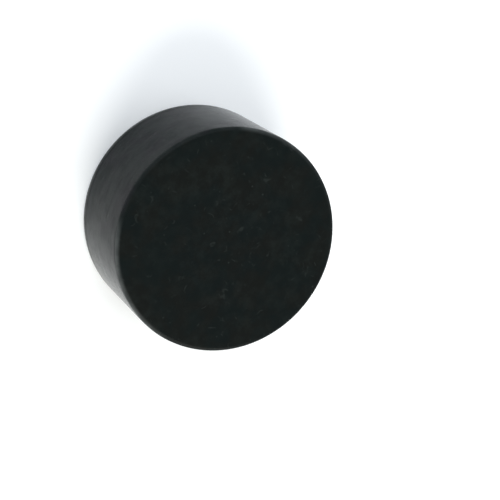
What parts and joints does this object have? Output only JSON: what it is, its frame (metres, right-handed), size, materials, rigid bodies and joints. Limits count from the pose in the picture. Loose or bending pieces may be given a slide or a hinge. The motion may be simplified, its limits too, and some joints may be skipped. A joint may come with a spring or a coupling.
{
  "type": "rubber foot",
  "caption": "Solid round rubber foot: plain tread face, and in the mounting face a blind undercut socket that snaps over the head of a countersunk screw.",
  "frame": {"origin": "centre of the mounting face, where the screw enters, at the lowest point of the part", "axes": "+Z along the foot's axis of revolution, from the mounting face to the plain tread face; X and Y are any two directions across it, as the foot is round"},
  "size_m": [0.04, 0.04, 0.02],
  "materials": {
    "rubber": "black moulded rubber, matte with a soft sheen, faintly scuffed"
  },
  "bodies": {
    "root": {"rubber_foot": "rubber"}
  },
  "joints": []
}
